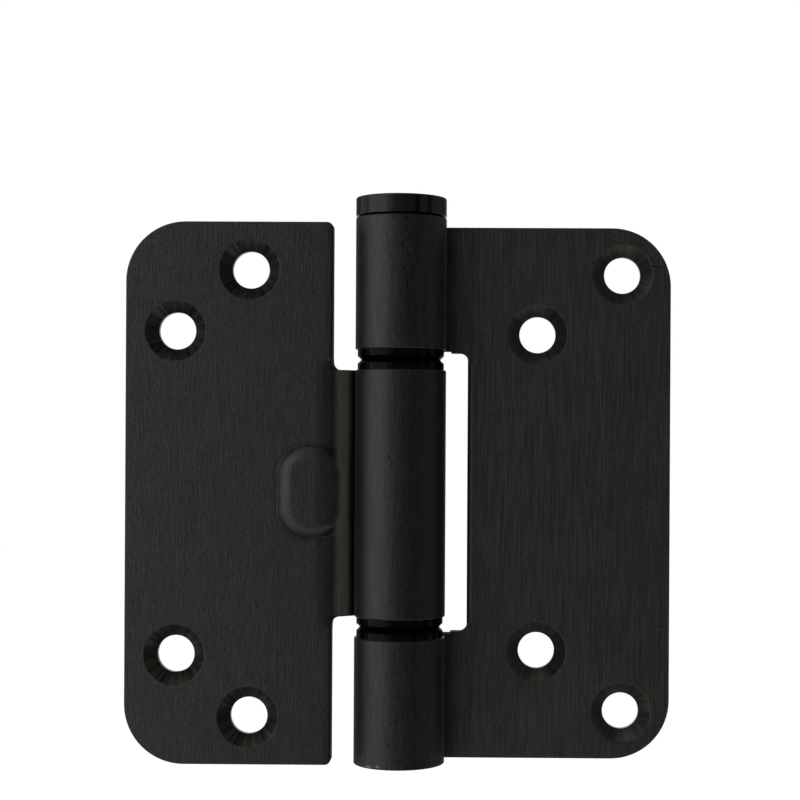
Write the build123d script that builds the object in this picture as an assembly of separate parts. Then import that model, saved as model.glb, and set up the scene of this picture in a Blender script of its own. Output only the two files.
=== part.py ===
from build123d import *
import math
import os

# Butt hinge of two folded sheet leaves on one pin, with plastic flanged bushes between the knuckles.
# Frame: the origin is on the pin's axis, level with the leaves' lower edges. Z runs up the pin to the cap,
# X runs out along the frame leaf, and Y points to the back, away from the countersunk faces.
# The hinge lies open flat, with the door leaf on the negative side of X.
# The pieces are modelled about the leaves' middle height, and are lifted at the end to stand on the origin.

# Sheet leaves
leaf_height = 89.0
leaf_reach = 45.0
sheet = 3.0
corner_radius = 9.8
inner_corner_radius = 1.0
edge_round = 0.18

# Rolled knuckles
knuckle_radius = 7.5
knuckle_end_round = 0.2
roll_seam = 0.25
middle_knuckle_length = 40.6
top_knuckle_rise = 0.9
tongue_width = 3.0

# Cut-out of the frame leaf, and the facing cut that squares the knuckle ends there
cutout_reach = 11.0
cutout_corner = 1.3
facing_step = 0.3
facing_margin = 0.7

# Door leaf: its inner edge, and the crank that carries the middle knuckle
door_inner_edge = 11.05
crank_angle = 36.0
bend_radius = 3.2
bend_fade = 2.0
notch_radius = 1.2

# Pressed oval pad of the door leaf
pad_width = 10.6
pad_height = 15.1
pad_corner = 4.8
pad_rise = 1.2
pad_from_axis = 14.7
pad_above_middle = 0.25
pad_slope = 45.0
pad_top_round = 3.0
pad_foot_round = 0.35
recess_slope = 60.0
recess_round = 0.5

# Countersunk screw holes, placed from each leaf's outer edge and ends
screw_hole = 6.1
countersink = 9.9
countersink_angle = 90.0
countersink_edge_break = 0.12
frame_far_margin = 8.05
frame_near_margin = 22.3
door_far_margin = 8.2
door_near_margin = 20.3
outer_row_margin = 7.8
inner_row_margin = 17.9

# Pin, bushes, cap and plug
pin_diameter = 7.0
running_clearance = 0.05
press_clearance = 0.02
thrust_clearance = 0.1
flange_thickness = 1.65
flange_diameter = 14.3
flange_chamfer = 0.55
bush_depth = 8.0
cap_thickness = 3.0
cap_edge_round = 0.25
cap_shadow_gap = 0.3
cap_shadow_depth = 0.9
spigot_length = 7.0
plug_length = 8.0
plug_inset = 0.2
socket_depth = 5.5
pin_end_gap = 0.3
lead_in = 0.4

# Derived places
bore_radius = knuckle_radius - sheet
half_height = leaf_height / 2
middle_end = middle_knuckle_length / 2
frame_knuckle_end = middle_end + 2 * flange_thickness + thrust_clearance
cutout_end = frame_knuckle_end - facing_step
top_knuckle_end = half_height + top_knuckle_rise
frame_front = bore_radius
frame_back = knuckle_radius
door_front = -sheet
door_back = 0.0
crank = math.radians(crank_angle)
slope = Vector(math.cos(crank), math.sin(crank))
bend_start = -(knuckle_radius + bend_radius * (1 - math.cos(crank))) / math.sin(crank)
pin_radius = pin_diameter / 2
fitted_radius = bore_radius - press_clearance
spigot_end = top_knuckle_end - spigot_length
pin_bottom = plug_inset - half_height + plug_length - socket_depth
pin_top = spigot_end + socket_depth - pin_end_gap


def plate(outline, front, back):
    """Sheet of the given X-Z outline between two Y levels."""
    return extrude(Plane.XZ.offset(-back) * outline, amount=back - front)


def block(x0, x1, z0, z1):
    """Rectangle between two X places and two Z places."""
    return Pos((x0 + x1) / 2, (z0 + z1) / 2) * Rectangle(x1 - x0, z1 - z0)


def turned(profile):
    """Piece turned about the pin's axis from a closed profile of radius and height pairs."""
    return revolve(Plane.XZ * make_face(Polyline(profile, close=True)), Axis.Z)


def roll_section(lead):
    """Section of a knuckle rolled from sheet whose back face is tangent to the barrel."""
    end_angle = math.degrees(math.asin((bore_radius - roll_seam) / knuckle_radius))
    outer = CenterArc((0, 0), knuckle_radius, 90, 270 + end_angle)
    inner = CenterArc((0, 0), bore_radius, 90, 270 + end_angle)
    root = [Vector(lead, bore_radius), Vector(lead, knuckle_radius)]
    lines = [Line(outer @ 1, inner @ 1), Line(inner @ 0, root[0]), Line(root[0], root[1])]
    lines.append(Line(root[1], outer @ 0))
    return make_face([outer, inner] + lines)


def knuckle(low, high, lead):
    """Rolled knuckle between two heights, its outer edges rounded at both ends."""
    barrel = extrude(Pos(0, 0, low) * roll_section(lead), amount=high - low)
    circles = barrel.edges().filter_by(GeomType.CIRCLE)
    return fillet(circles.group_by(lambda rim: round(rim.radius, 3))[-1], knuckle_end_round)


def screw_holes(front, near, far, near_z, far_z):
    """Cutters for four countersunk holes, open to the front face, in pairs above and below the middle."""
    hole = screw_hole / 2
    sink = countersink / 2
    depth = (sink - hole) / math.tan(math.radians(countersink_angle / 2))
    mouth = [(0, 0), (sink + countersink_edge_break, 0), (sink, countersink_edge_break / 2)]
    cone = [(hole, depth + countersink_edge_break / 2), (hole, 2 * sheet), (0, 2 * sheet)]
    cutter = revolve(make_face(Polyline(mouth + cone, close=True)), Axis.Y)
    places = [(x, z * side) for x, z in ((near, near_z), (far, far_z)) for side in (1, -1)]
    return [Pos(x, front, z) * cutter for x, z in places]


def make_frame_leaf():
    """Flat leaf with the top and bottom knuckles rolled from its tongues."""
    outline = block(0, leaf_reach, -half_height, half_height)
    outline = fillet(outline.vertices().group_by(Axis.X)[-1], corner_radius)
    cutout = block(0, cutout_reach, -cutout_end, cutout_end)
    cutout = fillet(cutout.vertices().group_by(Axis.X)[-1], cutout_corner)
    facing = block(0, knuckle_radius + facing_margin, -frame_knuckle_end, frame_knuckle_end)
    leaf = plate(outline - cutout - facing, frame_front, frame_back)
    rims = leaf.edges().filter_by(Axis.Y, reverse=True).filter_by_position(Axis.X, 0.01, leaf_reach + 1)
    leaf = fillet(rims, edge_round)
    leaf += knuckle(frame_knuckle_end, top_knuckle_end, tongue_width)
    leaf += knuckle(-half_height, -frame_knuckle_end, tongue_width)
    near = leaf_reach - frame_near_margin
    far = leaf_reach - frame_far_margin
    inner_row = half_height - inner_row_margin
    outer_row = half_height - outer_row_margin
    return leaf - screw_holes(frame_front, near, far, inner_row, outer_row)


def crank_arc(radius):
    """Arc of the crank's bend, from where it leaves the flat of the door leaf."""
    return CenterArc((bend_start, bend_radius), radius, -90, crank_angle)


def bent_section(high, low, run, height):
    """Section through the bent sheet between two heights over its front face, with a run of slope."""
    front_bend = crank_arc(bend_radius + sheet + high)
    back_bend = crank_arc(bend_radius + sheet + low)
    front_end = (front_bend @ 1) + slope * run
    back_end = (back_bend @ 1) + slope * run
    lines = [Line(front_bend @ 1, front_end), Line(front_end, back_end), Line(back_end, back_bend @ 1)]
    lines.append(Line(back_bend @ 0, front_bend @ 0))
    return Pos(0, 0, height) * make_face([front_bend, back_bend] + lines)


def flat_section(run, height):
    """Section of the same strip before it is bent, with the bend's stretch and the run's as pieces."""
    bend_end = bend_start + (bend_radius + sheet / 2) * crank
    stations = [bend_start, bend_end, bend_end + run]
    corners = [(x, door_front) for x in stations] + [(x, door_back) for x in reversed(stations)]
    return Pos(0, 0, height) * make_face(Polyline(corners, close=True))


def make_door_leaf():
    """Flat leaf with a cranked tab at its middle, which is rolled into the middle knuckle."""
    fade_end = middle_end + bend_fade
    outline = block(-leaf_reach, -door_inner_edge, -half_height, half_height)
    outline = fillet(outline.vertices().group_by(Axis.X)[0], corner_radius)
    outline = fillet(outline.vertices().group_by(Axis.X)[-1], inner_corner_radius)
    leaf = plate(outline, door_front, door_back)
    leaf = fillet(leaf.edges().filter_by(Axis.Y, reverse=True), edge_round)
    leaf -= plate(block(bend_start, 0, -fade_end, fade_end), 2 * door_front, sheet)

    tangent_point = Vector(-math.sin(crank), math.cos(crank)) * knuckle_radius
    slope_length = (tangent_point - (crank_arc(bend_radius) @ 1)).length
    tab = bent_section(0, -sheet, slope_length - tongue_width, -middle_end)
    leaf += extrude(tab, amount=middle_knuckle_length)
    barrel = knuckle(-middle_end, middle_end, tongue_width)
    leaf += Rot(0, 0, crank_angle) * mirror(barrel, Plane.YZ)

    notch = block(-door_inner_edge, 0, middle_end, half_height)
    notch_corner = notch.vertices().group_by(Axis.X)[0].sort_by(Axis.Y)[0]
    notch = fillet(notch_corner, notch_radius)
    strip = loft([bent_section(0, -sheet, sheet, middle_end), flat_section(sheet, fade_end)], ruled=True)
    strip -= plate(notch, 2 * door_front, 2 * sheet)
    return leaf + strip + mirror(strip, Plane.XY)


def bent_layer(high, low):
    """Layer that follows the sheet through the crank, between two heights over its front face."""
    flat = block(bend_start - pad_width, bend_start, door_front - high, door_front - low)
    layer = flat + bent_section(high, low, pad_width, 0)
    return extrude(Pos(0, 0, -pad_height) * layer, amount=2 * pad_height)


def pad_prism(inset, front, back, flank_angle):
    """Oval block that widens from its front level to its back level, with flanks of the given angle."""
    oval = RectangleRounded(pad_width - 2 * inset, pad_height - 2 * inset, pad_corner - inset)
    seat = Plane((-pad_from_axis, front, pad_above_middle), x_dir=(1, 0, 0), z_dir=(0, 1, 0))
    return extrude(seat * oval, amount=back - front, taper=flank_angle - 90)


def add_pad(leaf):
    """Oval pad pressed out of the front face over the crank's bend, hollow from behind."""
    top = pad_above_middle + pad_height / 2
    crest = door_front - pad_rise
    inset = pad_rise / math.tan(math.radians(pad_slope))
    pad = pad_prism(inset, crest, door_back, pad_slope) & bent_layer(pad_rise, -sheet / 2)
    crest_rim = pad.edges().sort_by_distance((-pad_from_axis, crest, top - inset))[0]
    leaf += fillet(crest_rim, pad_top_round)
    foot_rim = leaf.edges().sort_by_distance((-pad_from_axis, door_front, top))[0]
    leaf = fillet(foot_rim, pad_foot_round)

    mouth_inset = sheet * math.tan(math.radians(recess_slope / 2))
    floor_inset = mouth_inset + pad_rise / math.tan(math.radians(recess_slope))
    floor = crest + sheet
    recess = pad_prism(floor_inset, floor, sheet, recess_slope)
    recess &= bent_layer(pad_rise - sheet, -sheet - bend_radius / 2)
    floor_rim = recess.edges().sort_by_distance((-pad_from_axis, floor, top - floor_inset))[0]
    leaf -= fillet(floor_rim, recess_round)
    mouth_rim = leaf.edges().sort_by_distance((-pad_from_axis, door_back, top - mouth_inset))[0]
    return fillet(mouth_rim, recess_round)


def drill_door_leaf(leaf):
    """Door leaf with its screw holes, whose pairs lie the other way round from the frame leaf's."""
    near = door_near_margin - leaf_reach
    far = door_far_margin - leaf_reach
    inner_row = half_height - inner_row_margin
    outer_row = half_height - outer_row_margin
    return leaf - screw_holes(door_front, near, far, outer_row, inner_row)


def make_bush():
    """Flanged bush standing in a knuckle that ends at height zero, its flange above that end."""
    bore = pin_radius + running_clearance
    rim = flange_diameter / 2
    nose = [(bore, -bush_depth), (fitted_radius - lead_in, -bush_depth)]
    sleeve = [(fitted_radius, lead_in - bush_depth), (fitted_radius, 0)]
    flange = [(rim, 0), (rim, flange_thickness - flange_chamfer)]
    face = [(rim - flange_chamfer, flange_thickness), (bore, flange_thickness)]
    return turned(nose + sleeve + flange + face)


def make_pin():
    """Straight pin with a lead-in at each end."""
    low, high = pin_bottom, pin_top
    foot = [(0, low), (pin_radius - lead_in, low), (pin_radius, low + lead_in)]
    head = [(pin_radius, high - lead_in), (pin_radius - lead_in, high), (0, high)]
    return turned(foot + head)


def make_cap():
    """Turned cap over a shadow gap, with a spigot that holds the pin's head in the top knuckle."""
    socket = pin_radius + press_clearance
    socket_floor = spigot_end + socket_depth
    cap_seat = top_knuckle_end + cap_shadow_gap
    cap_top = cap_seat + cap_thickness
    neck = knuckle_radius - cap_shadow_depth
    inside = [(0, socket_floor), (socket, socket_floor), (socket, spigot_end), (fitted_radius, spigot_end)]
    outside = [(fitted_radius, top_knuckle_end), (neck, top_knuckle_end), (neck, cap_seat)]
    cap = turned(inside + outside + [(knuckle_radius, cap_seat), (knuckle_radius, cap_top), (0, cap_top)])
    return fillet(cap.edges().group_by(Axis.Z)[-1], cap_edge_round)


def make_plug():
    """Plug that closes the bottom knuckle and carries the pin's foot in its socket."""
    socket = pin_radius + press_clearance
    low = plug_inset - half_height
    high = low + plug_length
    foot = [(0, low), (fitted_radius - lead_in, low), (fitted_radius, low + lead_in)]
    mouth = [(fitted_radius, high), (socket, high)]
    return turned(foot + mouth + [(socket, high - socket_depth), (0, high - socket_depth)])


bush = make_bush()
hanging_bush = mirror(bush, Plane.XY)
pieces = {
    "frame_leaf": make_frame_leaf(),
    "door_leaf": drill_door_leaf(add_pad(make_door_leaf())),
    "hinge_pin": make_pin(),
    "top_cap": make_cap(),
    "bottom_plug": make_plug(),
    "upper_frame_bush": Pos(0, 0, frame_knuckle_end) * hanging_bush,
    "upper_door_bush": Pos(0, 0, middle_end) * bush,
    "lower_door_bush": Pos(0, 0, -middle_end) * hanging_bush,
    "lower_frame_bush": Pos(0, 0, -frame_knuckle_end) * bush,
}

os.makedirs("parts", exist_ok=True)
for name, piece in pieces.items():
    export_step(Pos(0, 0, half_height) * piece, f"parts/{name}.step")
    print(name, round(piece.volume, 1), "cubic millimetres")
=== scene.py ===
"""Looks of a plain bearing butt hinge: two brushed leaves with rolled knuckles, a turned cap and bushes."""

import math
from types import SimpleNamespace

import bpy
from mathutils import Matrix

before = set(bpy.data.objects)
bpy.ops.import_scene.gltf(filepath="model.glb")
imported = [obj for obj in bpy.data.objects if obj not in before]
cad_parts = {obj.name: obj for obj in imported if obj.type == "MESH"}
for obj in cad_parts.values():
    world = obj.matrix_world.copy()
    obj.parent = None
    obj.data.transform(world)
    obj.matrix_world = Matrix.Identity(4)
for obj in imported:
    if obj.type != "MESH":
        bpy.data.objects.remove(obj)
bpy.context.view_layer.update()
bpy.ops.object.select_all(action="DESELECT")

MM = 0.001
scene = bpy.context.scene
scene.view_settings.view_transform = "Standard"


# camera

CAMERA_FROM_AXIS = 16.19 * MM      # to the right of the pin
CAMERA_BEFORE_AXIS = 290.30 * MM   # in front of the pin
CAMERA_HEIGHT = 54.87 * MM
PICTURE = 800.0                    # px, both ways
FOCAL = 1756.2                     # px
CENTRE_X, CENTRE_Y = 480.0, 430.0  # px, what the lens points at
TURN, TILT, ROLL = math.radians(0.601), math.radians(0.030), math.radians(-0.302)
SENSOR = 36.0                      # mm
NEAREST, FURTHEST = 0.01, 50       # m, what the camera can see between

camera_data = bpy.data.cameras.new("camera")
camera = bpy.data.objects.new("camera", camera_data)
scene.collection.objects.link(camera)
scene.camera = camera
camera.location = (CAMERA_FROM_AXIS, -CAMERA_BEFORE_AXIS, CAMERA_HEIGHT)
camera.rotation_mode = "XYZ"
camera.rotation_euler = (math.radians(90) + TILT, ROLL, TURN)
camera_data.sensor_width = SENSOR
camera_data.lens = FOCAL / PICTURE * SENSOR
camera_data.shift_x = (PICTURE / 2 - CENTRE_X) / PICTURE
camera_data.shift_y = (CENTRE_Y - PICTURE / 2) / PICTURE
camera_data.clip_start = NEAREST
camera_data.clip_end = FURTHEST


# nodes and colours

def colour(hex_code):
    """An sRGB hex code as the linear colour that a shader takes."""
    channels = [int(hex_code[i:i + 2], 16) / 255 for i in (1, 3, 5)]
    return tuple(c / 12.92 if c <= 0.04045 else ((c + 0.055) / 1.055) ** 2.4 for c in channels) + (1.0,)


def add(tree, kind, inputs=(), **settings):
    """Adds one node. settings are its properties. inputs are its sockets, each given a value, an output to
    link, or a node, whose first output in use is linked."""
    node = tree.nodes.new(kind)
    for name, value in settings.items():
        setattr(node, name, value)
    for name, value in dict(inputs).items():
        if isinstance(value, bpy.types.Node):
            value = next(output for output in value.outputs if output.enabled)
        if isinstance(value, bpy.types.NodeSocket):
            tree.links.new(value, node.inputs[name])
        else:
            node.inputs[name].default_value = value
    return node


def new_material(name):
    """A material and its node tree, emptied."""
    material = bpy.data.materials.new(name)
    material.use_nodes = True
    material.node_tree.nodes.clear()
    return material, material.node_tree


def streaks(tree, point, width, pull, detail=2.0):
    """Noise drawn out into streaks of one width. pull is how fast it changes along each axis, with 1 across
    them."""
    space = add(tree, "ShaderNodeMapping", {"Vector": point, "Scale": pull})
    return add(tree, "ShaderNodeTexNoise", {"Vector": space, "Scale": 1 / width, "Detail": detail})


def from_axis(tree, point):
    """How far a place is from the pin's axis."""
    plan = add(tree, "ShaderNodeVectorMath", {0: point, 1: (1, 1, 0)}, operation="MULTIPLY")
    return add(tree, "ShaderNodeVectorMath", {0: plan}, operation="LENGTH")


# blackened brushed leaves

# In a pair of numbers, the first is where a change starts and the second where it ends.

MIDDLE = 44.5 * MM                     # the leaves' middle height
ROLL_TO_SHEET = (7.6 * MM, 7.9 * MM)   # from the axis: the rolled knuckles end, and the flat sheet begins
TONGUE_X, TONGUE_REACH = -14 * MM, 7 * MM  # the door leaf's pressed tongue, with its crank and pad
TONGUE_EDGE = 20.1 * MM                # above and below the middle

OXIDE_AND_PAINTED_SHADE = "#0d0d0c"       # the darkest skin in nicks and pits, and painted shade in creases and along edges
FOOT_PAINTED_SHADE = "#121211"  # painted shade round the pad's foot
DULL_RIM = (0.8, 0.8, 0.8, 1.0)  # a blackened skin brightens less at a grazing angle than bare metal


def place_on_leaf(tree):
    """What the leaves' patterns go by: a place, its height above or below the middle, whether it is on a
    rolled knuckle or on the flat sheet, and which way the surface faces there."""
    coordinates = add(tree, "ShaderNodeTexCoord")
    point = coordinates.outputs["Object"]
    split = add(tree, "ShaderNodeSeparateXYZ", {"Vector": point})
    from_middle = add(tree, "ShaderNodeMath", {0: split.outputs["Z"], 1: MIDDLE}, operation="SUBTRACT")
    height = add(tree, "ShaderNodeMath", {0: from_middle}, operation="ABSOLUTE")
    off_roll = add(tree, "ShaderNodeMapRange", {
        "Value": from_axis(tree, point), "From Min": ROLL_TO_SHEET[0], "From Max": ROLL_TO_SHEET[1]})
    facing = add(tree, "ShaderNodeSeparateXYZ", {"Vector": coordinates.outputs["Normal"]})
    return SimpleNamespace(
        point=point, x=split.outputs["X"], y=split.outputs["Y"], height=height,
        off_roll=off_roll,
        on_roll=add(tree, "ShaderNodeMath", {0: 1.0, 1: off_roll}, operation="SUBTRACT"),
        past_tongue_edge=add(tree, "ShaderNodeMath", {0: height, 1: TONGUE_EDGE}, operation="GREATER_THAN"),
        right_of_axis=add(tree, "ShaderNodeMath", {0: split.outputs["X"], 1: 0.0}, operation="GREATER_THAN"),
        facing_x=facing.outputs["X"], facing_z=facing.outputs["Z"],
        face_on=add(tree, "ShaderNodeMath", {0: facing.outputs["Y"]}, operation="ABSOLUTE"))


# The belt's grit lines are 0.05 mm apart, and are drawn about 0.12 mm apart so that they show.
LONG_LINE, LONG_PULL = 0.13 * MM, (1, 1, 0.022)
SHORT_LINE = 0.11 * MM
STROKE, STROKE_PULL = 0.75 * MM, (1, 1, 0.05)
CLOUD = 14 * MM
BROAD_SHARE = 0.08            # of the strokes, and of the clouds, in the tone
BELT_TONES = (0.385, 0.615)   # noise at the darkest and the palest line


def belt_lines(tree, at, dash):
    """The belt's upright lines, long and short, alone and with broad faint strokes and clouds of tone."""
    long_lines = streaks(tree, at.point, LONG_LINE, LONG_PULL, detail=1.0)
    short_lines = streaks(tree, at.point, SHORT_LINE, (1, 1, dash), detail=1.0)
    fine = add(tree, "ShaderNodeMix", {"Factor": 0.5, "A": long_lines, "B": short_lines}, data_type="FLOAT")
    strokes = streaks(tree, at.point, STROKE, STROKE_PULL)
    clouds = add(tree, "ShaderNodeTexNoise", {"Vector": at.point, "Scale": 1 / CLOUD, "Detail": 2.0})
    lines = fine
    for broad in (strokes, clouds):
        lines = add(tree, "ShaderNodeMix", {"Factor": BROAD_SHARE, "A": lines, "B": broad}, data_type="FLOAT")
    return fine, lines


EDGE_FACES = (0.6, 0.97)      # how squarely a cut edge, and then the flat sheet, faces the front
STEP, STEP_PULL = 0.55 * MM, (1, 0.18, 1)
STEP_TONES = (0.30, 0.70)
STEP_SHADES = ("#121211", "#2a2a28")


def sheared_edges(tree, at):
    """Where the punch cut the sheet, and the steps that it left across the edge, about 0.5 mm apart.
    The crank and the pad lean too, but they are pressed, so the box round them is left out."""
    sheared = add(tree, "ShaderNodeMapRange", {
        "Value": at.face_on, "From Min": EDGE_FACES[0], "From Max": EDGE_FACES[1],
        "To Min": 1.0, "To Max": 0.0})
    from_tongue = add(tree, "ShaderNodeMath", {0: at.x, 1: TONGUE_X}, operation="SUBTRACT")
    from_tongue = add(tree, "ShaderNodeMath", {0: from_tongue}, operation="ABSOLUTE")
    beside_tongue = add(tree, "ShaderNodeMath", {0: from_tongue, 1: TONGUE_REACH}, operation="GREATER_THAN")
    not_pressed = add(tree, "ShaderNodeMath", {0: beside_tongue, 1: at.past_tongue_edge}, operation="MAXIMUM")
    for where in (at.off_roll, not_pressed):
        sheared = add(tree, "ShaderNodeMath", {0: sheared, 1: where}, operation="MULTIPLY")
    return sheared, streaks(tree, at.point, STEP, STEP_PULL)


SCREW_HOLES = ((22.7, 26.6), (36.95, 36.7), (-24.7, 36.7), (-36.8, 26.6))  # X, and Z from the middle, mm
SINK_RADIUS = 5.05 * MM
CONE_FACES = (0.8, 0.95)      # how squarely a cone, and then the flat sheet, faces the front
CHATTER_TONES = (0.38, 0.62)


def countersinks(tree, at):
    """Where the drilled cones are, and the chatter round them. The holes mirror about the middle height, so
    one centre serves two."""
    folded = add(tree, "ShaderNodeCombineXYZ", {"X": at.x, "Z": at.height})
    in_cone, around = 0.0, (0.0, 0.0, 0.0)
    for x, z in SCREW_HOLES:
        offset = add(tree, "ShaderNodeVectorMath", {0: folded, 1: (x * MM, 0, z * MM)}, operation="SUBTRACT")
        reach = add(tree, "ShaderNodeVectorMath", {0: offset}, operation="LENGTH")
        inside = add(tree, "ShaderNodeMath", {0: reach, 1: SINK_RADIUS}, operation="LESS_THAN")
        own = add(tree, "ShaderNodeVectorMath", {0: offset, "Scale": inside}, operation="SCALE")
        in_cone = add(tree, "ShaderNodeMath", {0: inside, 1: in_cone}, operation="ADD")
        around = add(tree, "ShaderNodeVectorMath", {0: own, 1: around}, operation="ADD")
    flank = add(tree, "ShaderNodeMapRange", {
        "Value": at.face_on, "From Min": CONE_FACES[0], "From Max": CONE_FACES[1],
        "To Min": 1.0, "To Max": 0.0})
    in_cone = add(tree, "ShaderNodeMath", {0: in_cone, 1: flank}, operation="MULTIPLY")
    direction = add(tree, "ShaderNodeVectorMath", {0: around}, operation="NORMALIZE")
    chatter = add(tree, "ShaderNodeTexNoise", {
        "Vector": direction, "Scale": 6.0, "Detail": 3.0, "Roughness": 0.7})
    return in_cone, chatter


PAD_CENTRE = (-14.7 * MM, 0, 44.75 * MM)
PAD_CORNER = 4.8 * MM
PAD_STRAIGHT = (0.5 * MM, 0, 2.75 * MM)     # half of each straight side
PAD_FOOT = -0.05 * MM                       # beyond the outline, so just inside it
FOOT_LINE, LINE_DARKNESS = (0.08 * MM, 0.32 * MM), 0.6
FOOT_HALO, HALO_DARKNESS = (0.1 * MM, 1.1 * MM), 0.3
PAD_LEFT, LEFT_SHARE = (-19.7 * MM, -18.6 * MM), 0.3
PAD_RIGHT, RIGHT_SHARE = (-12.2 * MM, -10.0 * MM), 0.25
SLOPE_FACES = (-0.5, -0.15)                 # how far a slope, and then the flat, faces left or down
# painted shade on the pad's slopes that face left and down
LEFT_SLOPE_PAINTED_SHADE, LOWER_SLOPE_PAINTED_SHADE = 0.32, 0.4
PAD_EDGE = 0.3 * MM                         # beyond the outline


def outside_pad(tree, at):
    """How far a place lies beyond the pressed pad's outline, seen from the front."""
    away = add(tree, "ShaderNodeVectorMath", {0: at.point, 1: PAD_CENTRE}, operation="SUBTRACT")
    away = add(tree, "ShaderNodeVectorMath", {0: away, 1: (1, 0, 1)}, operation="MULTIPLY")
    away = add(tree, "ShaderNodeVectorMath", {0: away}, operation="ABSOLUTE")
    away = add(tree, "ShaderNodeVectorMath", {0: away, 1: PAD_STRAIGHT}, operation="SUBTRACT")
    away = add(tree, "ShaderNodeVectorMath", {0: away, 1: (0, 0, 0)}, operation="MAXIMUM")
    away = add(tree, "ShaderNodeVectorMath", {0: away}, operation="LENGTH")
    return add(tree, "ShaderNodeMath", {0: away, 1: PAD_CORNER}, operation="SUBTRACT")


def pad_foot_painted_shade(tree, at, from_pad):
    """Painted shade at the pad's foot, a thin line in a soft halo. The line is fainter at the pad's left end,
    and both are fainter at its right."""
    off_foot = add(tree, "ShaderNodeMath", {0: from_pad, 1: PAD_FOOT}, operation="SUBTRACT")
    off_foot = add(tree, "ShaderNodeMath", {0: off_foot}, operation="ABSOLUTE")
    line = add(tree, "ShaderNodeMapRange", {
        "Value": off_foot, "From Min": FOOT_LINE[0], "From Max": FOOT_LINE[1],
        "To Min": LINE_DARKNESS, "To Max": 0.0})
    past_left = add(tree, "ShaderNodeMapRange", {
        "Value": at.x, "From Min": PAD_LEFT[0], "From Max": PAD_LEFT[1], "To Min": LEFT_SHARE, "To Max": 1.0})
    line = add(tree, "ShaderNodeMath", {0: line, 1: past_left}, operation="MULTIPLY")
    halo = add(tree, "ShaderNodeMapRange", {
        "Value": off_foot, "From Min": FOOT_HALO[0], "From Max": FOOT_HALO[1],
        "To Min": HALO_DARKNESS, "To Max": 0.0})
    foot = add(tree, "ShaderNodeMath", {0: line, 1: halo}, operation="MAXIMUM")
    before_right = add(tree, "ShaderNodeMapRange", {
        "Value": at.x, "From Min": PAD_RIGHT[0], "From Max": PAD_RIGHT[1],
        "To Min": 1.0, "To Max": RIGHT_SHARE})
    return add(tree, "ShaderNodeMath", {0: foot, 1: before_right}, operation="MULTIPLY")


def painted_pad_slope_shade(tree, at, from_pad):
    """Painted shade on the pad's left and lower slopes, by which way they face: how much each is darkened."""
    left = add(tree, "ShaderNodeMapRange", {
        "Value": at.facing_x, "From Min": SLOPE_FACES[0], "From Max": SLOPE_FACES[1],
        "To Min": LEFT_SLOPE_PAINTED_SHADE, "To Max": 0.0})
    lower = add(tree, "ShaderNodeMapRange", {
        "Value": at.facing_z, "From Min": SLOPE_FACES[0], "From Max": SLOPE_FACES[1],
        "To Min": LOWER_SLOPE_PAINTED_SHADE, "To Max": 0.0})
    slope_shade = add(tree, "ShaderNodeMath", {0: left, 1: lower}, operation="MAXIMUM")
    on_pad = add(tree, "ShaderNodeMath", {0: from_pad, 1: PAD_EDGE}, operation="LESS_THAN")
    for where in (on_pad, at.off_roll):
        slope_shade = add(tree, "ShaderNodeMath", {0: slope_shade, 1: where}, operation="MULTIPLY")
    return slope_shade


CRANK_FACES = (0.2, 0.5)                    # how far the surface faces right, as the crank does
BEND = (-11.0 * MM, -10.0 * MM)
PAD_TO_BAND = (-0.9 * MM, 0.0)              # beyond the pad's outline
KNUCKLE_SIDE = (-8.7 * MM, -7.9 * MM)
BAND_EDGE = 20.2 * MM                       # above and below the middle
# the band's painted reflection, darkest and palest
BAND_REFLECTION_SHADES = ("#56544e", "#6a6861")


def painted_reflection_band(tree, at, from_pad):
    """A paler matt band on the fold in front of the middle knuckle: a painted reflection, on a half-metal
    finish."""
    painted_band = add(tree, "ShaderNodeMapRange", {
        "Value": at.facing_x, "From Min": CRANK_FACES[0], "From Max": CRANK_FACES[1]})
    past_bend = add(tree, "ShaderNodeMapRange", {"Value": at.x, "From Min": BEND[0], "From Max": BEND[1]})
    off_pad = add(tree, "ShaderNodeMapRange", {
        "Value": from_pad, "From Min": PAD_TO_BAND[0], "From Max": PAD_TO_BAND[1]})
    past_bend = add(tree, "ShaderNodeMath", {0: past_bend, 1: off_pad}, operation="MULTIPLY")
    before_knuckle = add(tree, "ShaderNodeMapRange", {
        "Value": at.x, "From Min": KNUCKLE_SIDE[0], "From Max": KNUCKLE_SIDE[1],
        "To Min": 1.0, "To Max": 0.0})
    on_tongue = add(tree, "ShaderNodeMath", {0: at.height, 1: BAND_EDGE}, operation="LESS_THAN")
    for where in (past_bend, before_knuckle, on_tongue):
        painted_band = add(tree, "ShaderNodeMath", {0: painted_band, 1: where}, operation="MULTIPLY")
    return painted_band


# Painted shade in the crease by the frame leaf's rolls, along the door leaf's inner edges, and on the
# cut-out's rim.
CREASE, CREASE_DARKNESS = (7.4 * MM, 9.4 * MM), 0.5
INNER_MARGIN, MARGIN_DARKNESS = (-12.7 * MM, -11.7 * MM), 0.25
INNER_EDGE, EDGE_DARKNESS = (-11.65 * MM, -11.4 * MM), 0.6
DOOR_LEAF_END = -10 * MM
CUTOUT_END = 21.8 * MM                      # above and below the middle
CUTOUT_RIM, RIM_DARKNESS = (11.32 * MM, 11.5 * MM), 0.85
# a painted highlight line beside the cut-out's long edge
HIGHLIGHT_X, HIGHLIGHT_HALF, HIGHLIGHT_PALENESS = 11.68 * MM, (0.05 * MM, 0.25 * MM), 0.45
EDGE_HIGHLIGHT_PAINT = "#5c5a57"


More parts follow.
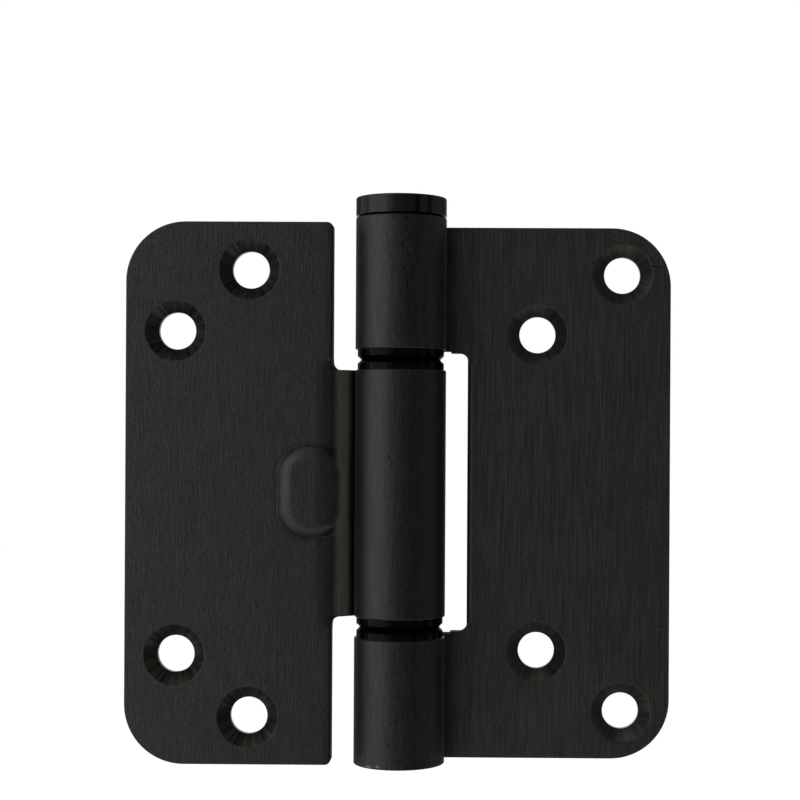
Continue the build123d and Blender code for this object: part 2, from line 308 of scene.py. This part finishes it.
def painted_crease_and_edge_shade(tree, at):
    """Painted shade in the crease beside the frame leaf's rolls, along the door leaf's inner edges, and on
    the rim of the cut-out's long edge."""
    crease = add(tree, "ShaderNodeMapRange", {
        "Value": at.x, "From Min": CREASE[0], "From Max": CREASE[1],
        "To Min": CREASE_DARKNESS, "To Max": 0.0})
    for where in (at.off_roll, at.right_of_axis):
        crease = add(tree, "ShaderNodeMath", {0: crease, 1: where}, operation="MULTIPLY")
    margin = add(tree, "ShaderNodeMapRange", {
        "Value": at.x, "From Min": INNER_MARGIN[0], "From Max": INNER_MARGIN[1],
        "To Min": 0.0, "To Max": MARGIN_DARKNESS})
    edge = add(tree, "ShaderNodeMapRange", {
        "Value": at.x, "From Min": INNER_EDGE[0], "From Max": INNER_EDGE[1],
        "To Min": 0.0, "To Max": EDGE_DARKNESS})
    inner = add(tree, "ShaderNodeMath", {0: margin, 1: edge}, operation="MAXIMUM")
    on_door_leaf = add(tree, "ShaderNodeMath", {0: at.x, 1: DOOR_LEAF_END}, operation="LESS_THAN")
    for where in (on_door_leaf, at.past_tongue_edge):
        inner = add(tree, "ShaderNodeMath", {0: inner, 1: where}, operation="MULTIPLY")
    skin = add(tree, "ShaderNodeMath", {0: crease, 1: inner}, operation="MAXIMUM")
    beside_cutout = add(tree, "ShaderNodeMath", {0: at.height, 1: CUTOUT_END}, operation="LESS_THAN")
    rim = add(tree, "ShaderNodeMapRange", {
        "Value": at.x, "From Min": CUTOUT_RIM[0], "From Max": CUTOUT_RIM[1],
        "To Min": RIM_DARKNESS, "To Max": 0.0})
    for where in (beside_cutout, at.right_of_axis, at.off_roll):
        rim = add(tree, "ShaderNodeMath", {0: rim, 1: where}, operation="MULTIPLY")
    return add(tree, "ShaderNodeMath", {0: skin, 1: rim}, operation="MAXIMUM")


def painted_edge_highlight(tree, at):
    """A painted highlight: a paler line beside the cut-out's long edge."""
    off_line = add(tree, "ShaderNodeMath", {0: at.x, 1: HIGHLIGHT_X}, operation="SUBTRACT")
    off_line = add(tree, "ShaderNodeMath", {0: off_line}, operation="ABSOLUTE")
    line = add(tree, "ShaderNodeMapRange", {
        "Value": off_line, "From Min": HIGHLIGHT_HALF[0], "From Max": HIGHLIGHT_HALF[1],
        "To Min": HIGHLIGHT_PALENESS, "To Max": 0.0})
    beside_cutout = add(tree, "ShaderNodeMath", {0: at.height, 1: CUTOUT_END}, operation="LESS_THAN")
    return add(tree, "ShaderNodeMath", {0: line, 1: beside_cutout}, operation="MULTIPLY")


PIT, PIT_PULL = 0.25 * MM, (1, 1, 0.26)
PIT_TONES, PIT_DARKNESS = (0.52, 0.68), 0.55
PITS_LEFT, PITS_RIGHT = (-2.4 * MM, -0.6 * MM), (2.2 * MM, 4.6 * MM)
FRONT = -3.5 * MM


def roll_pits(tree, at):
    """Upright pits down the front of the rolls, about 0.2 mm wide, where the sheet was stretched."""
    pitted = add(tree, "ShaderNodeMapRange", {
        "Value": streaks(tree, at.point, PIT, PIT_PULL), "From Min": PIT_TONES[0], "From Max": PIT_TONES[1],
        "To Min": 0.0, "To Max": PIT_DARKNESS})
    past_left = add(tree, "ShaderNodeMapRange", {
        "Value": at.x, "From Min": PITS_LEFT[0], "From Max": PITS_LEFT[1]})
    before_right = add(tree, "ShaderNodeMapRange", {
        "Value": at.x, "From Min": PITS_RIGHT[0], "From Max": PITS_RIGHT[1], "To Min": 1.0, "To Max": 0.0})
    in_front = add(tree, "ShaderNodeMath", {0: at.y, 1: FRONT}, operation="LESS_THAN")
    for where in (past_left, before_right, in_front, at.on_roll):
        pitted = add(tree, "ShaderNodeMath", {0: pitted, 1: where}, operation="MULTIPLY")
    return pitted


# Small marks, each by its centre and half size in mm. Fade is where a mark's edge starts and ends, with 1 at
# its half size.
NICKS = (
    ((0.8, -7.5, 85.1), (0.16, 1.0, 0.22)), ((0.95, -7.5, 81.1), (0.14, 1.0, 0.30)),
    ((1.6, -7.4, 79.5), (0.22, 1.0, 0.16)), ((1.4, -7.4, 78.4), (0.13, 1.0, 0.24)),
    ((42.5, 4.5, 82.6), (1.25, 1.0, 0.10)), ((-1.4, -7.4, 50.6), (0.10, 1.0, 0.35)),
)
# Two painted glints on the front-left of the lower knuckle's bottom rim, in pale steel.
PAINTED_GLINTS = (((-4.65, -5.85, 0.36), (0.62, 1.2, 0.20)), ((-3.1, -6.8, 0.5), (0.36, 1.2, 0.18)))
NICK_FADE, NICK_DEPTH = (0.6, 1.3), 1.0
GLINT_FADE, GLINT_STRENGTH = (0.6, 1.2), 0.9
GLINT_PAINT = "#5a5a57"


def small_marks(tree, at, marks, fade, depth):
    """Soft-edged marks as listed, and how strong each is at its middle."""
    marked = 0.0
    for centre, half in marks:
        away = add(tree, "ShaderNodeVectorMath", {
            0: at.point, 1: [c * MM for c in centre]}, operation="SUBTRACT")
        away = add(tree, "ShaderNodeVectorMath", {
            0: away, 1: [1 / (h * MM) for h in half]}, operation="MULTIPLY")
        away = add(tree, "ShaderNodeVectorMath", {0: away}, operation="LENGTH")
        mark = add(tree, "ShaderNodeMapRange", {
            "Value": away, "From Min": fade[0], "From Max": fade[1], "To Min": depth, "To Max": 0.0})
        marked = add(tree, "ShaderNodeMath", {0: mark, 1: marked}, operation="MAXIMUM")
    return marked


ROLL_CALM = 0.3               # how much of the grain the roll smooths away
EVEN = 0.5                    # the noise's middle value
ROUGHNESS_TONES, ROUGHNESS_SWING = (0.3, 0.7), 0.04
SHEARED_ROUGHNESS, CONE_ROUGHNESS, BAND_ROUGHNESS = 0.75, 0.28, 0.5
SHEARED_METAL, CONE_METAL, BAND_METAL = 0.0, 0.7, 0.5
PIT_SINK = 0.5
GROOVE_DEPTH = 0.06 * MM


def brushed_steel(name, sheet_roughness, roll_roughness, roll_dimming, sheet_shades, cone_shades, dash):
    """Stainless sheet, belt-brushed along the pin and blackened: a soft dark sheen with fine upright lines.
    Drilled cones are smoother, with radial chatter, and sheared edges are dull. Each pair of shades is the
    grain's darkest and palest, and dash is how fast the short lines change along the pin."""
    material, tree = new_material(name)
    at = place_on_leaf(tree)
    fine, lines = belt_lines(tree, at, dash)
    sheared, steps = sheared_edges(tree, at)
    in_cone, chatter = countersinks(tree, at)
    from_pad = outside_pad(tree, at)
    painted_band = painted_reflection_band(tree, at, from_pad)
    pitted = roll_pits(tree, at)
    nicked = small_marks(tree, at, NICKS, NICK_FADE, NICK_DEPTH)

    # The grain is calmer on the rolls, and they are darker than the flat sheet. Two of the pad's slopes get
    # painted shade.
    belt_tone, step_tone, chatter_tone = [
        add(tree, "ShaderNodeMapRange", {"Value": noise, "From Min": tones[0], "From Max": tones[1]})
        for noise, tones in ((lines, BELT_TONES), (steps, STEP_TONES), (chatter, CHATTER_TONES))]
    calm = add(tree, "ShaderNodeMath", {0: at.on_roll, 1: ROLL_CALM}, operation="MULTIPLY")
    sheet_tone = add(tree, "ShaderNodeMix", {"Factor": calm, "A": belt_tone, "B": EVEN}, data_type="FLOAT")
    shade, edge_shade, cone_shade, band_shade = [
        add(tree, "ShaderNodeMix", {"Factor": tone, "A": colour(dark), "B": colour(pale)}, data_type="RGBA")
        for tone, (dark, pale) in (
            (sheet_tone, sheet_shades), (step_tone, STEP_SHADES), (chatter_tone, cone_shades),
            (belt_tone, BAND_REFLECTION_SHADES))]
    # a darker tone on the rolls, and painted shade on the pad's left and lower slopes
    roll_tone_and_painted_slope_shade = add(tree, "ShaderNodeMath", {0: at.on_roll, 1: roll_dimming}, operation="MULTIPLY")
    roll_tone_and_painted_slope_shade = add(tree, "ShaderNodeMath", {
        0: roll_tone_and_painted_slope_shade, 1: painted_pad_slope_shade(tree, at, from_pad)}, operation="MAXIMUM")
    layers = (
        (roll_tone_and_painted_slope_shade, colour("#000000")),
        # painted highlight beside the cut-out's long edge
        (painted_edge_highlight(tree, at), colour(EDGE_HIGHLIGHT_PAINT)),
        # painted glints on the lower knuckle's bottom rim
        (small_marks(tree, at, PAINTED_GLINTS, GLINT_FADE, GLINT_STRENGTH), colour(GLINT_PAINT)),
        # painted shade in creases and along edges
        (painted_crease_and_edge_shade(tree, at), colour(OXIDE_AND_PAINTED_SHADE)),
        (pitted, colour(OXIDE_AND_PAINTED_SHADE)),
        (sheared, edge_shade),
        (in_cone, cone_shade),
        # painted reflection on the fold before the middle knuckle
        (painted_band, band_shade),
        # painted shade at the pad's foot
        (pad_foot_painted_shade(tree, at, from_pad), colour(FOOT_PAINTED_SHADE)),
        (nicked, colour(OXIDE_AND_PAINTED_SHADE)),
    )
    for where, tint in layers:
        shade = add(tree, "ShaderNodeMix", {"Factor": where, "A": shade, "B": tint}, data_type="RGBA")

    rough = add(tree, "ShaderNodeMapRange", {
        "Value": lines, "From Min": ROUGHNESS_TONES[0], "From Max": ROUGHNESS_TONES[1],
        "To Min": sheet_roughness + ROUGHNESS_SWING, "To Max": sheet_roughness - ROUGHNESS_SWING})
    for where, value in (
            (at.on_roll, roll_roughness), (sheared, SHEARED_ROUGHNESS), (in_cone, CONE_ROUGHNESS),
            (painted_band, BAND_ROUGHNESS)):
        rough = add(tree, "ShaderNodeMix", {"Factor": where, "A": rough, "B": value}, data_type="FLOAT")
    metal = add(tree, "ShaderNodeMapRange", {"Value": painted_band, "To Min": 1.0, "To Max": BAND_METAL})
    for where, value in ((sheared, SHEARED_METAL), (in_cone, CONE_METAL)):
        metal = add(tree, "ShaderNodeMix", {"Factor": where, "A": metal, "B": value}, data_type="FLOAT")

    height = fine
    for where, value in ((sheared, steps), (in_cone, chatter), (calm, EVEN)):
        height = add(tree, "ShaderNodeMix", {"Factor": where, "A": height, "B": value}, data_type="FLOAT")
    pit_height = add(tree, "ShaderNodeMath", {0: pitted, 1: PIT_SINK}, operation="MULTIPLY")
    for sunk in (pit_height, nicked):
        height = add(tree, "ShaderNodeMath", {0: height, 1: sunk}, operation="SUBTRACT")
    grooves = add(tree, "ShaderNodeBump", {"Height": height, "Strength": 1.0, "Distance": GROOVE_DEPTH})
    skin = add(tree, "ShaderNodeBsdfPrincipled", {
        "Base Color": shade, "Metallic": metal, "Roughness": rough, "Specular Tint": DULL_RIM,
        "Specular IOR Level": 0.1, "Sheen Weight": 0.06, "Sheen Roughness": 0.4, "Normal": grooves})
    add(tree, "ShaderNodeOutputMaterial", {"Surface": skin})
    return material


# cap, pin and bushes

RING_PULL, WIPE_PULL = (0.02, 0.02, 1), (1, 1, 0.05)
CAP_RING, CAP_WIPE, PIN_RING = 0.25 * MM, 0.6 * MM, 0.2 * MM
WIPE_SHARE = 0.6
GROOVE = (6.7 * MM, 7.3 * MM)  # from the axis: its floor, and its open side
CAP_FOOT = 90.25 * MM
SPECK = 0.5 * MM
END_FACE = 0.97                # how squarely a flange's end faces up or down


def turned_steel():
    """Stainless bar, turned smooth on a lathe and blackened: sharper upright reflections, faint rings.
    Painted shade darkens the narrow groove under the cap, which is also rougher."""
    material, tree = new_material("blackened_turned_stainless")
    point = add(tree, "ShaderNodeTexCoord").outputs["Object"]
    rings = streaks(tree, point, CAP_RING, RING_PULL)
    wipes = streaks(tree, point, CAP_WIPE, WIPE_PULL)
    both = add(tree, "ShaderNodeMix", {"Factor": WIPE_SHARE, "A": rings, "B": wipes}, data_type="FLOAT")
    in_groove = add(tree, "ShaderNodeMapRange", {
        "Value": from_axis(tree, point), "From Min": GROOVE[0], "From Max": GROOVE[1],
        "To Min": 1.0, "To Max": 0.0})
    split = add(tree, "ShaderNodeSeparateXYZ", {"Vector": point})
    below_cap = add(tree, "ShaderNodeMath", {0: split.outputs["Z"], 1: CAP_FOOT}, operation="LESS_THAN")
    groove_painted_shade = add(tree, "ShaderNodeMath", {0: in_groove, 1: below_cap}, operation="MULTIPLY")
    shade = add(tree, "ShaderNodeMix", {
        "Factor": both, "A": colour("#222120"), "B": colour("#2e2d2c")}, data_type="RGBA")
    # painted shade in the groove under the cap
    shade = add(tree, "ShaderNodeMix", {
        "Factor": groove_painted_shade, "A": shade, "B": colour("#070706")}, data_type="RGBA")
    rough = add(tree, "ShaderNodeMapRange", {
        "Value": rings, "From Min": 0.3, "From Max": 0.7, "To Min": 0.16, "To Max": 0.24})
    rough = add(tree, "ShaderNodeMix", {"Factor": groove_painted_shade, "A": rough, "B": 0.7}, data_type="FLOAT")
    marks = add(tree, "ShaderNodeBump", {"Height": both, "Strength": 0.15, "Distance": 0.01 * MM})
    skin = add(tree, "ShaderNodeBsdfPrincipled", {
        "Base Color": shade, "Metallic": 1.0, "Roughness": rough, "Specular Tint": DULL_RIM, "Normal": marks})
    add(tree, "ShaderNodeOutputMaterial", {"Surface": skin})
    return material


def ground_steel():
    """Ground pin stock, plain bright steel: nearly mirror, with fine rings."""
    material, tree = new_material("ground_pin_steel")
    point = add(tree, "ShaderNodeTexCoord").outputs["Object"]
    rings = streaks(tree, point, PIN_RING, RING_PULL)
    shade = add(tree, "ShaderNodeMix", {
        "Factor": rings, "A": colour("#8a8a88"), "B": colour("#a4a4a1")}, data_type="RGBA")
    rough = add(tree, "ShaderNodeMapRange", {"Value": rings, "To Min": 0.12, "To Max": 0.22})
    skin = add(tree, "ShaderNodeBsdfPrincipled", {"Base Color": shade, "Metallic": 1.0, "Roughness": rough})
    add(tree, "ShaderNodeOutputMaterial", {"Surface": skin})
    return material


def bearing_plastic():
    """Acetal, moulded glossy and black: a thin sharp gleam and no grain. Old grease dulls the flanges'
    end faces."""
    material, tree = new_material("moulded_black_acetal")
    coordinates = add(tree, "ShaderNodeTexCoord")
    speck = add(tree, "ShaderNodeTexNoise", {
        "Vector": coordinates.outputs["Object"], "Scale": 1 / SPECK, "Detail": 2.0})
    shade = add(tree, "ShaderNodeMix", {
        "Factor": speck, "A": colour("#020202"), "B": colour("#050505")}, data_type="RGBA")
    rough = add(tree, "ShaderNodeMapRange", {"Value": speck, "To Min": 0.04, "To Max": 0.08})
    facing = add(tree, "ShaderNodeSeparateXYZ", {"Vector": coordinates.outputs["Normal"]})
    end_on = add(tree, "ShaderNodeMath", {0: facing.outputs["Z"]}, operation="ABSOLUTE")
    greased = add(tree, "ShaderNodeMath", {0: end_on, 1: END_FACE}, operation="GREATER_THAN")
    rough = add(tree, "ShaderNodeMix", {"Factor": greased, "A": rough, "B": 1.0}, data_type="FLOAT")
    skin = add(tree, "ShaderNodeBsdfPrincipled", {
        "Base Color": shade, "Specular IOR Level": 0.045, "Roughness": rough})
    add(tree, "ShaderNodeOutputMaterial", {"Surface": skin})
    return material


turned, plastic = turned_steel(), bearing_plastic()
finish_of = {
    "frame_leaf": brushed_steel(
        "blackened_stainless_coarse_brushed", sheet_roughness=0.47, roll_roughness=0.40, roll_dimming=0.27,
        sheet_shades=("#2d2c2b", "#454442"), cone_shades=("#2e2d2a", "#403e3b"), dash=0.2),
    "door_leaf": brushed_steel(
        "blackened_stainless_fine_brushed", sheet_roughness=0.31, roll_roughness=0.39, roll_dimming=0.23,
        sheet_shades=("#31302f", "#3f3e3c"), cone_shades=("#181716", "#373632"), dash=0.13),
    "top_cap": turned, "bottom_plug": turned, "hinge_pin": ground_steel(),
    "upper_frame_bush": plastic, "upper_door_bush": plastic,
    "lower_door_bush": plastic, "lower_frame_bush": plastic,
}
for name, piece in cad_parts.items():
    for slot in piece.material_slots:
        slot.material = finish_of[name]


# studio

WHITE = (1, 1, 1, 1)
ROOM = 0.55          # how bright the room is to the hinge, beside white paper's 1
FLOOR = -250 * MM    # the hinge hangs clear of it, as on its frame
FLOOR_SIZE = 8       # m
FLOOR_LIFT = 0.55    # what the floor's paint lacks to look white


def looked_at(tree):
    """1 where the eye sees a thing, straight, in a gloss or through glass, and 0 for the light it gives."""
    path = add(tree, "ShaderNodeLightPath")
    seen = add(tree, "ShaderNodeMath", {
        0: path.outputs["Is Camera Ray"], 1: path.outputs["Is Glossy Ray"]}, operation="MAXIMUM")
    return add(tree, "ShaderNodeMath", {0: seen, 1: path.outputs["Is Transmission Ray"]}, operation="MAXIMUM")


world = bpy.data.worlds.new("white_studio")
scene.world = world
world.use_nodes = True
world.node_tree.nodes.clear()
level = add(world.node_tree, "ShaderNodeMapRange", {
    "Value": looked_at(world.node_tree), "To Min": ROOM, "To Max": 1.0})
sky = add(world.node_tree, "ShaderNodeBackground", {"Color": WHITE, "Strength": level})
add(world.node_tree, "ShaderNodeOutputWorld", {"Surface": sky})

# Pale floor: painted board, lit as any surface is, with the rest of the way to white added for the eye.
floor_paint, tree = new_material("white_studio_floor")
lift = add(tree, "ShaderNodeMath", {0: looked_at(tree), 1: FLOOR_LIFT}, operation="MULTIPLY")
paint = add(tree, "ShaderNodeBsdfDiffuse", {"Color": colour("#eeeeec")})
glow = add(tree, "ShaderNodeEmission", {"Color": WHITE, "Strength": lift})
both = add(tree, "ShaderNodeAddShader", {0: paint, 1: glow})
add(tree, "ShaderNodeOutputMaterial", {"Surface": both})
bpy.ops.mesh.primitive_plane_add(size=FLOOR_SIZE, location=(0, 0, FLOOR))
floor = bpy.context.object
floor.name = "floor"
floor.data.materials.append(floor_paint)


def bearing_point(angle, distance):
    """A point on the floor plan: 0 degrees is towards the camera's side, positive to the right."""
    return (distance * math.sin(math.radians(angle)), -distance * math.cos(math.radians(angle)))


# The room as the knuckles reflect it, a little darker to the right: grey boards with two dark gaps, two more
# boards behind, and a thin dark post on the left. Each has its two bearings in degrees and its felt's shade.
BOARDS = (
    ("board_front_left", -20, -6, "#e4e2dd"),
    ("board_front_edge", -6, 7, "#d6d4cf"),
    ("board_front", 7, 38, "#c2c0bb"),
    ("gap_front", 38, 50, "#222120"),
    ("board_front_right", 50, 72, "#d2d0cb"),
    ("gap_right", 72, 84, "#44423f"),
    ("board_right", 84, 97, "#e4e2dd"),
    ("board_back_right", 97, 123, "#d6d4cf"),
    ("board_behind_right", 123, 165, "#8a8882"),
    ("board_behind_left", -165, -122, "#909090"),
    ("post_left", -93, -90, "#141413"),
)
BOARD_DISTANCE, BOARD_TOP = 0.45, 1.6  # m


def stand_board(name, from_angle, to_angle, shade):
    """An upright board in felt, seen only in the hinge's gloss."""
    felt_cloth, tree = new_material("felt_" + name)
    felt = add(tree, "ShaderNodeBsdfDiffuse", {"Color": colour(shade)})
    add(tree, "ShaderNodeOutputMaterial", {"Surface": felt})
    x0, y0 = bearing_point(from_angle, BOARD_DISTANCE)
    x1, y1 = bearing_point(to_angle, BOARD_DISTANCE)
    mesh = bpy.data.meshes.new(name)
    corners = [(x0, y0, FLOOR), (x1, y1, FLOOR), (x1, y1, BOARD_TOP), (x0, y0, BOARD_TOP)]
    mesh.from_pydata(corners, [], [(0, 1, 2, 3)])
    board = bpy.data.objects.new(name, mesh)
    scene.collection.objects.link(board)
    board.data.materials.append(felt_cloth)
    board.visible_camera = board.visible_diffuse = board.visible_shadow = False


for board in BOARDS:
    stand_board(*board)


AIM_HEIGHT = 0.045               # m, about the hinge's middle
TUBE_WHITE = (0.96, 1.0, 0.985)  # slightly cool


def softbox(name, angle, distance, height, width, tall, glow):
    """A rectangular studio light at a bearing, facing the hinge. glow is its brightness beside white
    paper's 1."""
    data = bpy.data.lights.new(name, "AREA")
    data.shape = "RECTANGLE"
    data.size, data.size_y = width, tall
    data.energy = math.pi * width * tall * glow
    data.color = TUBE_WHITE
    lamp = bpy.data.objects.new(name, data)
    scene.collection.objects.link(lamp)
    x, y = bearing_point(angle, distance)
    lamp.location = (x, y, height)
    bearing = math.atan2(-y, -x)
    climb = math.atan2(AIM_HEIGHT - height, math.hypot(-x, -y))
    lamp.rotation_euler = (math.radians(90) + climb, 0, bearing - math.radians(90))
    lamp.visible_camera = False


softbox("softbox_left", angle=-61, distance=1.2, height=0.30, width=1.25, tall=1.1, glow=0.95)
